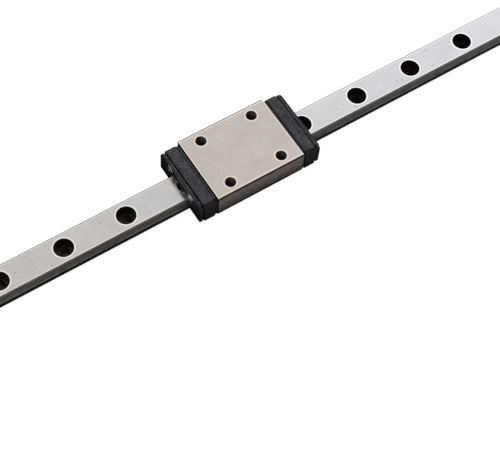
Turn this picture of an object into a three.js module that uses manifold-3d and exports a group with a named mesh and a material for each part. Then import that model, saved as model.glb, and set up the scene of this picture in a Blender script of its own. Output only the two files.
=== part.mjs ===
// A miniature linear guide: a ground steel rail with counterbored mounting holes, and a
// recirculating-ball carriage that slides along it. Millimetres, +X along the rail, +Z up.
// The origin is the centre of the rail's underside. Front is +X and left is +Y.
//
// The carriage is a steel block that straddles the rail. At each end it carries a return
// plate, an end cap and an end seal, held by two long screws. Two ball circuits, one on each
// side of the rail, run along the rail's grooves, turn inside the end caps, and come back
// through drilled bores in the block. A bent wire on each side keeps the balls in when the
// carriage is off its rail.
import * as THREE from "three";
import { mergeVertices } from "three/addons/utils/BufferGeometryUtils.js";
import Module from "manifold-3d";

const wasm = await Module();
wasm.setup();

// ---- driving dimensions -------------------------------------------------------------

// rail
const RAIL_LENGTH = 150;
const RAIL_WIDTH = 7;
const RAIL_HEIGHT = 4.8;
const RAIL_TOP_CHAMFER = 0.35;
const RAIL_BASE_CHAMFER = 0.6;
const HOLE_PITCH = 15;
const HOLE_COUNT = RAIL_LENGTH / HOLE_PITCH;
const HOLE_RADIUS = 1.2;
const HOLE_HEAD_RADIUS = 2.1; // counterbore for the head of an M2 screw
const HOLE_HEAD_DEPTH = 2.3;
const HOLE_CHAMFER = 0.12;

// where the carriage stands on the rail: its centre along X
const CARRIAGE_X = -8.75;

// balls and their tracks
const BALL_RADIUS = 0.794;
const BALL_Y = 3.68; // centre of the loaded row, from the rail's centre plane
const BALL_Z = 2.9;
const RETURN_Y = 6.35; // centre of the return row
const BALLS_PER_CIRCUIT = 31;
const LOADED_EACH_WAY = 6; // loaded balls on each side of the carriage's middle
const TRACK_RADIUS = 0.87; // the two arcs of a Gothic-arch track
const TRACK_OFFSET = 0.035; // how far each arc's centre stands off the ball's, in y and z
const CHANNEL_RADIUS = 0.88; // bores and turns that the unloaded balls run through
const CORE_RADIUS = 0.2; // core that joins the unloaded balls of a circuit

// retainer wire, in a slot at the bottom of the rail's track
const WIRE_RADIUS = 0.15;
const WIRE_Y = 2.715;
const WIRE_SLOT_Y = 2.5;
const WIRE_SLOT_HALF_HEIGHT = 0.22;
const WIRE_BEND_RADIUS = 0.5;
const WIRE_HOOK_X = 14; // the bent ends lie along Y here
const WIRE_HOOK_Y = 6.3;

// carriage block
const BLOCK_LENGTH = 21.8;
const BLOCK_WIDTH = 17;
const BLOCK_TOP = 8;
const BLOCK_BASE = 1.5;
const BLOCK_BASE_CHAMFER = 0.5;
const BLOCK_TOP_CHAMFER = 0.2;
const SLOT_HALF_WIDTH = 3.85;
const SLOT_TOP = 5.15;
const MOUNT_SPACING_X = 13;
const MOUNT_SPACING_Y = 12;
const MOUNT_RADIUS = 1; // M2
const MOUNT_DEPTH = 2.5;
const MOUNT_CHAMFER = 0.25;
const MOUNT_TIP = 0.45; // the drill's cone below the full depth

// end assembly: distances from the carriage's middle along X
const PLATE_START = 10.95;
const PLATE_END = 11.5;
const CAP_START = 11.54;
const CAP_END = 14.3;
const SEAL_START = 14.36;
const SEAL_END = 15.4;
const TURN_X = 11.3; // centre of the ball turns

// end assembly: outline seen along X
const CAP_HALF_WIDTH = 8.4;
const CAP_TOP = 7.7;
const CAP_BASE = 1.5;
const CAP_TOP_CHAMFER = 0.9;
const CAP_BASE_CHAMFER = 0.25;
const PLATE_INSET = 0.15; // how far inside the cap's outline the return plate stands
const SEAL_INSET = 0.15;
const RAIL_GAP = 0.2; // between the rail and the caps and return plates
const SEAL_BODY_GAP = 0.35;
const LIP_GAP = 0.08;
const LIP_THICKNESS = 0.3;
const GUIDE_RADIUS = 0.95; // half-round guide inside each ball turn
const GUIDE_HALF_HEIGHT = 0.8;
const GUIDE_ROOT = 0.3; // how deep the guide's root lies in the return plate
const FIT = 0.05; // gap round a guide, a wire's hook and a screw's head

// recess in the seal's outer face, between its screws
const RECESS_DEPTH = 0.4;
const RECESS_HALF_WIDTH = 2.9;
const RECESS_BASE = 5.4;
const RECESS_TOP = 7.1;

// grease ports: holes through the seal and a little way into the cap, outboard of the screws
const PORT_Y = 6.3;
const PORT_Z = 4.2;
const PORT_RADIUS = 0.45;
const PORT_DEPTH = 0.6;

// end screws
const SCREW_Y = 4.3;
const SCREW_Z = 6.25;
const SCREW_RADIUS = 0.68;
const SCREW_HOLE_RADIUS = 0.8;
const SCREW_TIP_X = 7.75;
const SCREW_HOLE_END_X = 7.6;
const HEAD_RADIUS = 1;
const HEAD_HEIGHT = 0.45;
const HEAD_CHAMFER = 0.15;
const HEAD_SEAT_DEPTH = 0.4;
const CROSS_LENGTH = 1.1;
const CROSS_WIDTH = 0.26;
const CROSS_DEPTH = 0.3;

// facets
const BORE_SIDES = 24;
const SMALL_SIDES = 16;
const WIRE_SIDES = 8;
const TURN_STEPS = 16; // steps round a whole torus
const BALL_DETAIL = 1;
const CUT = 1; // how far a cutting tool runs past the face that it cuts

const SIDES = { left: 1, right: -1 };
const TURN_RADIUS = (RETURN_Y - BALL_Y) / 2;
const TURN_Y = (RETURN_Y + BALL_Y) / 2;

// ---- materials ----------------------------------------------------------------------

const material = (color, roughness, metalness) =>
  new THREE.MeshStandardMaterial({ color, roughness, metalness });
const railSteel = material(0xc9c8c8, 0.32, 1);
const blockSteel = material(0xc4bab2, 0.38, 1);
const ballSteel = material(0xd8d8da, 0.08, 1);
const wireSteel = material(0xb9b8b6, 0.25, 1);
const screwSteel = material(0xa9a6a0, 0.3, 1);
const capPlastic = material(0x232327, 0.5, 0);
const platePlastic = material(0x2e2d2e, 0.45, 0);
const sealRubber = material(0x17171a, 0.6, 0);

// ---- solids -------------------------------------------------------------------------

/** A three.js geometry as a manifold-3d solid. */
function solid(geometry) {
  const bare = geometry.clone();
  bare.deleteAttribute("normal");
  bare.deleteAttribute("uv");
  const merged = mergeVertices(bare, 1e-4);
  return new wasm.Manifold(
    new wasm.Mesh({
      numProp: 3,
      vertProperties: merged.attributes.position.array,
      triVerts: new Uint32Array(merged.index.array),
    }),
  );
}

/** A manifold-3d solid as a named three.js mesh. */
function mesh(name, body, look) {
  const made = body.getMesh();
  const geometry = new THREE.BufferGeometry();
  geometry.setAttribute("position", new THREE.BufferAttribute(made.vertProperties, 3));
  geometry.setIndex(new THREE.BufferAttribute(made.triVerts, 1));
  geometry.computeVertexNormals();
  const result = new THREE.Mesh(geometry, look);
  result.name = name;
  return result;
}

const union = (bodies) => bodies.reduce((all, body) => all.add(body));
const cut = (body, tools) => tools.reduce((left, tool) => left.subtract(tool), body);
const bothSides = (make) => Object.values(SIDES).map(make);

/** A (y, z) outline, symmetric about the rail's centre plane, from its +Y half, base first. */
function outline(half) {
  const mirrored = half.map(([y, z]) => [-y, z]).reverse();
  return new THREE.Shape([...half, ...mirrored].map(([y, z]) => new THREE.Vector2(y, z)));
}

// stands a shape drawn in (y, z) up, so that it is extruded along X
const ALONG_X = new THREE.Matrix4().makeBasis(
  new THREE.Vector3(0, 1, 0),
  new THREE.Vector3(0, 0, 1),
  new THREE.Vector3(1, 0, 0),
);

/** A (y, z) outline extruded from x0 to x1. */
function bar(shape, x0, x1) {
  const geometry = new THREE.ExtrudeGeometry(shape, { depth: x1 - x0, bevelEnabled: false });
  return solid(geometry.applyMatrix4(ALONG_X).translate(x0, 0, 0));
}

/** A box from one corner to the other. */
function box([x0, y0, z0], [x1, y1, z1]) {
  const geometry = new THREE.BoxGeometry(x1 - x0, y1 - y0, z1 - z0);
  return solid(geometry.translate((x0 + x1) / 2, (y0 + y1) / 2, (z0 + z1) / 2));
}

/** A cylinder along X, from x0 to x1. */
function rodX(x0, x1, y, z, radius, sides = SMALL_SIDES) {
  const geometry = new THREE.CylinderGeometry(radius, radius, x1 - x0, sides);
  return solid(geometry.rotateZ(-Math.PI / 2).translate((x0 + x1) / 2, y, z));
}

/** A turned solid with its axis along Z, from [radius, z] points that start and end on it. */
function turned(x, y, profile, sides = BORE_SIDES) {
  const points = profile.map(([radius, z]) => new THREE.Vector2(radius, z));
  const geometry = new THREE.LatheGeometry(points, sides);
  return solid(geometry.rotateX(Math.PI / 2).translate(x, y, 0));
}

// ---- the space the rail and the balls take up ---------------------------------------

/** The rail's outline, grown by `gap` at its sides and top, and reaching down to `base`. */
function railOutline(gap, base) {
  const side = RAIL_WIDTH / 2 + gap;
  const top = RAIL_HEIGHT + gap;
  const chamfer = RAIL_TOP_CHAMFER + gap * (1 - Math.tan(Math.PI / 8));
  return outline([[side, base], [side, top - chamfer], [side - chamfer, top]]);
}

/** The passage through the end assembly that clears the rail by `gap`. */
const railPassage = (gap, x0, x1) => bar(railOutline(gap, -CUT), x0, x1);

/** A Gothic-arch track: two arcs whose centres stand off the ball's by `away` along y. */
function track(side, away, radius, x0, x1) {
  const arc = (offset) => rodX(x0, x1, side * (BALL_Y + away), BALL_Z + offset, radius, BORE_SIDES);
  return arc(TRACK_OFFSET).intersect(arc(-TRACK_OFFSET));
}

/** The ball turn at the front end: half a torus from the loaded row to the return row. */
function ballTurn(side, radius) {
  const sides = radius > CORE_RADIUS ? SMALL_SIDES : WIRE_SIDES;
  const geometry = new THREE.TorusGeometry(TURN_RADIUS, radius, sides, TURN_STEPS);
  const ring = solid(geometry.translate(TURN_X, side * TURN_Y, BALL_Z));
  const reach = TURN_RADIUS + radius + CUT;
  return ring.intersect(
    box(
      [TURN_X, side * TURN_Y - reach, BALL_Z - reach],
      [TURN_X + reach, side * TURN_Y + reach, BALL_Z + reach],
    ),
  );
}

/** The straight runs of a circuit, between x0 and x1, and its turn. */
const ballChannel = (side, x0, x1) => [
  rodX(x0, x1, side * BALL_Y, BALL_Z, CHANNEL_RADIUS),
  rodX(x0, x1, side * RETURN_Y, BALL_Z, CHANNEL_RADIUS),
  ballTurn(side, CHANNEL_RADIUS),
];

/** The pair of screw holes through the end assembly. */
const screwHoles = (x0, x1, radius) => bothSides((side) => rodX(x0, x1, side * SCREW_Y, SCREW_Z, radius));

const greasePorts = () =>
  bothSides((side) => rodX(CAP_END - PORT_DEPTH, SEAL_END + CUT, side * PORT_Y, PORT_Z, PORT_RADIUS));

// ---- rail ---------------------------------------------------------------------------

/** A counterbored mounting hole at x, chamfered at its mouth. */
function railHole(x) {
  const seat = RAIL_HEIGHT - HOLE_HEAD_DEPTH;
  return turned(x, 0, [
    [0, -CUT],
    [HOLE_RADIUS, -CUT],
    [HOLE_RADIUS, seat],
    [HOLE_HEAD_RADIUS, seat],
    [HOLE_HEAD_RADIUS, RAIL_HEIGHT - HOLE_CHAMFER],
    [HOLE_HEAD_RADIUS + HOLE_CHAMFER, RAIL_HEIGHT],
    [HOLE_HEAD_RADIUS + HOLE_CHAMFER, RAIL_HEIGHT + CUT],
    [0, RAIL_HEIGHT + CUT],
  ]);
}

/** The slot behind a track that the retainer wire runs in. */
function wireSlot(side, x0, x1) {
  const ys = [side * WIRE_SLOT_Y, side * BALL_Y].sort((a, b) => a - b);
  return box([x0, ys[0], BALL_Z - WIRE_SLOT_HALF_HEIGHT], [x1, ys[1], BALL_Z + WIRE_SLOT_HALF_HEIGHT]);
}

function makeRail() {
  const half = RAIL_WIDTH / 2;
  const end = RAIL_LENGTH / 2;
  const section = outline([
    [half - RAIL_BASE_CHAMFER, 0],
    [half, RAIL_BASE_CHAMFER],
    [half, RAIL_HEIGHT - RAIL_TOP_CHAMFER],
    [half - RAIL_TOP_CHAMFER, RAIL_HEIGHT],
  ]);
  const tracks = bothSides((side) => track(side, TRACK_OFFSET, TRACK_RADIUS, -end - CUT, end + CUT));
  const slots = bothSides((side) => wireSlot(side, -end - CUT, end + CUT));
  const holes = [];
  for (let i = 0; i < HOLE_COUNT; i++) {
    holes.push(railHole((i - (HOLE_COUNT - 1) / 2) * HOLE_PITCH));
  }
  return mesh("rail", cut(bar(section, -end, end), [...tracks, ...slots, ...holes]), railSteel);
}

// ---- carriage block -----------------------------------------------------------------

/** A tapped mounting hole in the block's top, chamfered at its mouth. */
function mountHole(x, y) {
  const floor = BLOCK_TOP - MOUNT_DEPTH;
  return turned(x, y, [
    [0, floor - MOUNT_TIP],
    [MOUNT_RADIUS, floor],
    [MOUNT_RADIUS, BLOCK_TOP - MOUNT_CHAMFER],
    [MOUNT_RADIUS + MOUNT_CHAMFER, BLOCK_TOP],
    [MOUNT_RADIUS + MOUNT_CHAMFER, BLOCK_TOP + CUT],
    [0, BLOCK_TOP + CUT],
  ]);
}

function makeBlock() {
  const half = BLOCK_WIDTH / 2;
  const end = BLOCK_LENGTH / 2;
  const section = outline([
    [half - BLOCK_BASE_CHAMFER, BLOCK_BASE],
    [half, BLOCK_BASE + BLOCK_BASE_CHAMFER],
    [half, BLOCK_TOP - BLOCK_TOP_CHAMFER],
    [half - BLOCK_TOP_CHAMFER, BLOCK_TOP],
  ]);
  const slot = box([-end - CUT, -SLOT_HALF_WIDTH, -CUT], [end + CUT, SLOT_HALF_WIDTH, SLOT_TOP]);
  const tracks = bothSides((side) => track(side, -TRACK_OFFSET, TRACK_RADIUS, -end - CUT, end + CUT));
  const returns = bothSides((side) =>
    rodX(-end - CUT, end + CUT, side * RETURN_Y, BALL_Z, CHANNEL_RADIUS),
  );
  const frontHoles = screwHoles(SCREW_HOLE_END_X, end + CUT, SCREW_HOLE_RADIUS);
  const rearHoles = screwHoles(-end - CUT, -SCREW_HOLE_END_X, SCREW_HOLE_RADIUS);
  const mounts = [];
  for (const x of [-1, 1]) {
    for (const y of [-1, 1]) {
      mounts.push(mountHole((x * MOUNT_SPACING_X) / 2, (y * MOUNT_SPACING_Y) / 2));
    }
  }
  const tools = [slot, ...tracks, ...returns, ...frontHoles, ...rearHoles, ...mounts];
  return mesh("carriage_block", cut(bar(section, -end, end), tools), blockSteel);
}

// ---- end assembly, drawn for the front end ------------------------------------------

/** The end assembly's outline, `inset` inside the cap's. */
function endOutline(inset) {
  const side = CAP_HALF_WIDTH - inset;
  const top = CAP_TOP - inset;
  const base = CAP_BASE + inset;
  return outline([
    [side - CAP_BASE_CHAMFER, base],
    [side, base + CAP_BASE_CHAMFER],
    [side, top - CAP_TOP_CHAMFER],
    [side - CAP_TOP_CHAMFER, top],
  ]);
}

/** The half-round guide inside a ball turn, or with `gap` the pocket that takes it. */
function turnGuide(side, gap) {
  const height = GUIDE_HALF_HEIGHT + gap;
  const post = turned(TURN_X, side * TURN_Y, [
    [0, BALL_Z - height],
    [GUIDE_RADIUS + gap, BALL_Z - height],
    [GUIDE_RADIUS + gap, BALL_Z + height],
    [0, BALL_Z + height],
  ]);
  const reach = GUIDE_RADIUS + CUT;
  return post.intersect(
    box(
      [PLATE_END - GUIDE_ROOT, side * TURN_Y - reach, 0],
      [PLATE_END + reach, side * TURN_Y + reach, BLOCK_TOP],
    ),
  );
}

function returnPlate() {
  const plate = bar(endOutline(PLATE_INSET), PLATE_START, PLATE_END);
  const guides = bothSides((side) => turnGuide(side, 0));
  return cut(union([plate, ...guides]), [
    railPassage(RAIL_GAP, PLATE_START - CUT, PLATE_END + CUT),
    ...bothSides((side) => ballChannel(side, PLATE_START - CUT, TURN_X)).flat(),
    ...screwHoles(PLATE_START - CUT, PLATE_END + CUT, SCREW_HOLE_RADIUS),
  ]);
}

/** The groove in the cap's outer face that takes a wire's hook. */
function hookGroove(side) {
  const ys = [0, side * (WIRE_HOOK_Y + FIT)].sort((a, b) => a - b);
  const half = WIRE_RADIUS + FIT;
  return box([WIRE_HOOK_X - half, ys[0], BALL_Z - half], [CAP_END + CUT, ys[1], BALL_Z + half]);
}

function endCap() {
  return cut(bar(endOutline(0), CAP_START, CAP_END), [
    railPassage(RAIL_GAP, CAP_START - CUT, CAP_END + CUT),
    ...bothSides((side) => ballTurn(side, CHANNEL_RADIUS)),
    ...bothSides((side) => turnGuide(side, FIT)),
    ...bothSides(hookGroove),
    ...greasePorts(),
    ...screwHoles(CAP_START - CUT, CAP_END + CUT, SCREW_HOLE_RADIUS),
  ]);
}

/** The opening inside the seal's lip, which follows the rail into its tracks. */
function lipOpening() {
  const [x0, x1] = [SEAL_START - CUT, SEAL_END + CUT];
  const tongues = bothSides((side) => track(side, TRACK_OFFSET, TRACK_RADIUS - LIP_GAP, x0 - CUT, x1 + CUT));
  return cut(railPassage(LIP_GAP, x0, x1), tongues);
}

function endSeal() {
  const recess = box(
    [SEAL_END - RECESS_DEPTH, -RECESS_HALF_WIDTH, RECESS_BASE],
    [SEAL_END + CUT, RECESS_HALF_WIDTH, RECESS_TOP],
  );
  return cut(bar(endOutline(SEAL_INSET), SEAL_START, SEAL_END), [
    railPassage(SEAL_BODY_GAP, SEAL_START - CUT, SEAL_END - LIP_THICKNESS),
    lipOpening(),
    recess,
    ...greasePorts(),
    ...screwHoles(SEAL_START - CUT, SEAL_END, SCREW_HOLE_RADIUS),
    ...screwHoles(SEAL_END - HEAD_SEAT_DEPTH, SEAL_END + CUT, HEAD_RADIUS + FIT),
  ]);
}

/** A pan-head screw with a cross recess. */
function endScrew(side) {
  const seat = SEAL_END - HEAD_SEAT_DEPTH + FIT;
  const face = seat + HEAD_HEIGHT;
  const profile = [
    [0, SCREW_TIP_X],
    [SCREW_RADIUS, SCREW_TIP_X],
    [SCREW_RADIUS, seat],
    [HEAD_RADIUS, seat],
    [HEAD_RADIUS, face - HEAD_CHAMFER],
    [HEAD_RADIUS - HEAD_CHAMFER, face],
    [0, face],
  ];
  const points = profile.map(([radius, x]) => new THREE.Vector2(radius, x));
  const turning = new THREE.LatheGeometry(points, SMALL_SIDES).rotateZ(-Math.PI / 2);
  const y = side * SCREW_Y;
  const slot = (halfY, halfZ) =>
    box([face - CROSS_DEPTH, y - halfY, SCREW_Z - halfZ], [face + CUT, y + halfY, SCREW_Z + halfZ]);
  const cross = [slot(CROSS_LENGTH / 2, CROSS_WIDTH / 2), slot(CROSS_WIDTH / 2, CROSS_LENGTH / 2)];
  return cut(solid(turning.translate(0, y, SCREW_Z)), cross);
}

/** The parts of one end, in a group turned to face the front (0) or the rear (pi). */
function endAssembly(name, turn) {
  const group = new THREE.Group();
  group.rotation.z = turn;
  group.add(mesh(`return_plate_${name}`, returnPlate(), platePlastic));
  group.add(mesh(`end_cap_${name}`, endCap(), capPlastic));
  group.add(mesh(`end_seal_${name}`, endSeal(), sealRubber));
  for (const [hand, side] of Object.entries(SIDES)) {
    // seen from above, the turned end has its left and right the other way round
    const place = turn === 0 ? side : -side;
    group.add(mesh(`end_screw_${name}_${hand}`, endScrew(place), screwSteel));
  }
  return group;
}

// ---- ball circuits ------------------------------------------------------------------

/** Where a ball stands after it has travelled `distance` from the middle of the loaded row. */
function circuitPoint(side, distance) {
  const straight = 2 * TURN_X;
  const turn = Math.PI * TURN_RADIUS;
  const lap = 2 * (straight + turn);
  const along = ((((distance + TURN_X) % lap) + lap) % lap);
  if (along <= straight) return new THREE.Vector3(along - TURN_X, side * BALL_Y, BALL_Z);
  if (along <= straight + turn) {
    const angle = (along - straight) / TURN_RADIUS;
    const y = TURN_Y - TURN_RADIUS * Math.cos(angle);
    return new THREE.Vector3(TURN_X + TURN_RADIUS * Math.sin(angle), side * y, BALL_Z);
  }
  const back = circuitPoint(side, distance - lap / 2);
  return new THREE.Vector3(-back.x, side * (2 * TURN_Y) - back.y, BALL_Z);
}

function ball(centre) {
  const geometry = new THREE.IcosahedronGeometry(BALL_RADIUS, BALL_DETAIL);
  return solid(geometry.translate(centre.x, centre.y, centre.z));
}

/** The thin core along the unloaded half of a circuit. */
function chainCore(side, reach) {
  const straight = rodX(-TURN_X, TURN_X, side * RETURN_Y, BALL_Z, CORE_RADIUS, WIRE_SIDES);
  const front = ballTurn(side, CORE_RADIUS);
  const rear = front.mirror([1, 0, 0]);
  return [straight, front, rear];
}

function makeCircuit(hand, side) {
  const pitch = (4 * TURN_X + 2 * Math.PI * TURN_RADIUS) / BALLS_PER_CIRCUIT;
  const meshes = [];
  const unloaded = [];
  for (let i = -LOADED_EACH_WAY; i < BALLS_PER_CIRCUIT - LOADED_EACH_WAY; i++) {
    const one = ball(circuitPoint(side, i * pitch));
    const number = String(i + LOADED_EACH_WAY + 1).padStart(2, "0");
    if (i <= LOADED_EACH_WAY) meshes.push(mesh(`ball_${hand}_${number}`, one, ballSteel));
    else unloaded.push(one);
  }
  meshes.push(mesh(`ball_chain_${hand}`, union([...chainCore(side), ...unloaded]), ballSteel));
  return meshes;
}

/** The retainer wire of one side, with both ends bent outward into the end caps. */
function makeWire(hand, side) {
  const bendX = WIRE_HOOK_X - WIRE_BEND_RADIUS;
  const bendY = side * (WIRE_Y + WIRE_BEND_RADIUS);
  const straight = rodX(-bendX - FIT / 2, bendX + FIT / 2, side * WIRE_Y, BALL_Z, WIRE_RADIUS, WIRE_SIDES);
  const torus = new THREE.TorusGeometry(WIRE_BEND_RADIUS, WIRE_RADIUS, WIRE_SIDES, TURN_STEPS);
  const ys = [bendY, bendY - side * CUT].sort((a, b) => a - b);
  const corner = box([bendX, ys[0], 0], [bendX + CUT, ys[1], BLOCK_TOP]);
  const bend = solid(torus.translate(bendX, bendY, BALL_Z)).intersect(corner);
  const length = WIRE_HOOK_Y - WIRE_Y - WIRE_BEND_RADIUS;
  const rod = new THREE.CylinderGeometry(WIRE_RADIUS, WIRE_RADIUS, length + FIT, WIRE_SIDES);
  const hook = solid(rod.translate(WIRE_HOOK_X, bendY + (side * (length - FIT)) / 2, BALL_Z));
  const rear = union([bend, hook]).mirror([1, 0, 0]);
  return mesh(`retainer_wire_${hand}`, union([straight, bend, hook, rear]), wireSteel);
}

// ---- assembly -----------------------------------------------------------------------

const carriage = new THREE.Group();
carriage.position.x = CARRIAGE_X;
carriage.add(makeBlock(), endAssembly("front", 0), endAssembly("rear", Math.PI));
for (const [hand, side] of Object.entries(SIDES)) {
  carriage.add(makeWire(hand, side), ...makeCircuit(hand, side));
}

const guide = new THREE.Group();
guide.add(makeRail(), carriage);

export default guide;
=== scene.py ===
from math import acos, asin, ceil, cos, pi, radians, sin, sqrt, tan

import bmesh
import bpy
from mathutils import Matrix, Quaternion, Vector


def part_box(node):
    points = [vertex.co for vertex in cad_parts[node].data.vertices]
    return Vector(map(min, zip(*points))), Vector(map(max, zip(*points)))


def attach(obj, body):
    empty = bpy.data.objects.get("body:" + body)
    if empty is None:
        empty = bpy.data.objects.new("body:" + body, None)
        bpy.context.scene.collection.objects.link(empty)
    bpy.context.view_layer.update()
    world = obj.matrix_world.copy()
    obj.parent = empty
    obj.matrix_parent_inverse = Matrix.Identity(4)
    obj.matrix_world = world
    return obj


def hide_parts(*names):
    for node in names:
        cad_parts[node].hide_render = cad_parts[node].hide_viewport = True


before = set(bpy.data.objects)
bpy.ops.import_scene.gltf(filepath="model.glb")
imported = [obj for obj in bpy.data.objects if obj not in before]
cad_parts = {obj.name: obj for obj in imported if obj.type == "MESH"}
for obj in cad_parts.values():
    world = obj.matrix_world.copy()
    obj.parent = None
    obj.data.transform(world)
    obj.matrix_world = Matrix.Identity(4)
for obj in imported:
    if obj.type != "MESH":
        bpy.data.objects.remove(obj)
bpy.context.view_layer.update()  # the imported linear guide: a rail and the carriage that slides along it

MM = 0.001
SIDES = {"left": 1, "right": -1}
ENDS = {"front": 1, "rear": -1}
OUTSIDE = 1.0  # how far a cutting tool runs past the face that it cuts

# ---- sizes --------------------------------------------------------------------------


def node_box(node):
    """A node's lowest and highest corners at rest, in millimetres."""
    low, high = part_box(node)
    return Vector(low) / MM, Vector(high) / MM


RAIL_LOW, RAIL_HIGH = node_box("rail")
BLOCK_LOW, BLOCK_HIGH = node_box("carriage_block")
CARRIAGE_X = (BLOCK_LOW.x + BLOCK_HIGH.x) / 2


def span(node):
    """Where a front part of the carriage starts and ends, from the carriage's middle."""
    low, high = node_box(node)
    return low.x - CARRIAGE_X, high.x - CARRIAGE_X


# rail
RAIL_TOP_CHAMFER = 0.35
RAIL_BASE_CHAMFER = 0.6
HOLE_PITCH = 15
HOLE_COUNT = round((RAIL_HIGH.x - RAIL_LOW.x) / HOLE_PITCH)
HOLE_RADIUS = 1.2
HOLE_HEAD_RADIUS = 2.1
HOLE_HEAD_DEPTH = 2.3
HOLE_CHAMFER = 0.12
STEEL_FILLET = 0.07  # along the ground edges of the rail and the block
STEEL_END_EDGE = 0.06  # round their end faces

# balls and tracks
BALL_RADIUS = 0.794
BALL_Y = 3.68
BALL_Z = 2.9
RETURN_Y = 6.35
BALLS_PER_CIRCUIT = 31
LOADED_BALLS = 13
TRACK_RADIUS = 0.87
TRACK_OFFSET = 0.035
CHANNEL_RADIUS = 0.88
TURN_X = 11.3
TURN_RADIUS = (RETURN_Y - BALL_Y) / 2
TURN_Y = (RETURN_Y + BALL_Y) / 2

# retainer wire
WIRE_RADIUS = 0.15
WIRE_Y = 2.715
WIRE_SLOT_Y = 2.5
WIRE_SLOT_HALF_HEIGHT = 0.22
WIRE_SLOT_FILLET = 0.08
WIRE_BEND_RADIUS = 0.5
WIRE_HOOK_X = 14
WIRE_HOOK_Y = 6.3

# block
BLOCK_BASE_CHAMFER = 0.5
BLOCK_TOP_CHAMFER = 0.2
SLOT_HALF_WIDTH = 3.85
SLOT_TOP = 5.15
SLOT_TOP_FILLET = 0.25
SLOT_BASE_FILLET = 0.12
BLOCK_BASE_FILLET = 0.08
MOUNT_SPACING_X = 13
MOUNT_SPACING_Y = 12
MOUNT_DEPTH = 2.5
MOUNT_RADIUS = 1.0
MOUNT_MINOR_RADIUS = 0.8
MOUNT_CHAMFER = 0.25
MOUNT_THREAD_PITCH = 0.4
DRILL_POINT = 0.4  # the depth of the cone below the thread

# end assembly
CAP_TOP_CHAMFER = 0.9
CAP_BASE_CHAMFER = 0.25
RAIL_GAP = 0.2
SEAL_BODY_GAP = 0.35
LIP_GAP = 0.08
LIP_THICKNESS = 0.3
GUIDE_RADIUS = 0.95
GUIDE_HALF_HEIGHT = 0.8
GUIDE_ROOT = 0.3  # how far the guides run into the return plate
FIT = 0.05
PLATE_GAP = 0.04
PLATE_EDGE = 0.13
CAP_EDGE = 0.2
LIP_EDGE = 0.06
SEAL_FRONT_EDGE = 0.12
SEAL_BACK_EDGE = 0.32
RECESS_DEPTH = 0.4
RECESS_HALF_WIDTH = 2.9
RECESS_BASE = 5.4
RECESS_TOP = 7.1
RECESS_FILLET = 0.3

# end screws
SCREW_Y = 4.3
SCREW_Z = 6.25
SCREW_RADIUS = 0.68
SCREW_MINOR_RADIUS = 0.55
SCREW_THREAD_PITCH = 0.3
SCREW_HOLE_RADIUS = 0.8
SCREW_HOLE_END_X = 7.6
HEAD_RADIUS = 1.0
HEAD_SEAT_DEPTH = 0.4
HEAD_BEVEL = 0.06
CROWN_WIDTH = 0.35
CROWN_HEIGHT = 0.3
CROSS_RADIUS = 0.55
CROSS_WIDTH = 0.26
CROSS_DEPTH = 0.3
CROSS_TAPER = 0.55

# grease ports
PORT_Y = 6.3
PORT_Z = 4.2
PORT_RADIUS = 0.45
PORT_DEPTH = 0.6

# fineness
FINE = 96  # steps round a visible hole
ROUND = 48  # steps round a bore or a screw
EDGE_STEPS = 3  # steps across a rounded edge
OVERLAP = 0.02  # how far joined or cut shapes run into each other
SHARP = radians(32)  # faces that meet at more than this keep a crisp edge

# the material slots that every solid has while it is being cut
FACE, BORE, SIDE = range(3)
PAINTS = 3

# the colours of marked steel, and of painted highlight and painted shade on it
# a darker tan band on the rail's top beside the rear seal
SEAL_BAND_TAN = (0.36, 0.285, 0.22)
# dark for pitting, and for painted shade on the block's top fillets
PITS_AND_SHADE = (0.18, 0.165, 0.15)
HIGHLIGHT_GAIN = 1.55  # a painted highlight against the metal's light colour
# a painted highlight line along the rail's sides
SIDE_HIGHLIGHT = (0.8, 0.76, 0.72)
# painted shade at the foot and crest of the steel sides
PAINTED_SHADE = (0.02, 0.017, 0.015)

# ---- materials ----------------------------------------------------------------------


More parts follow.
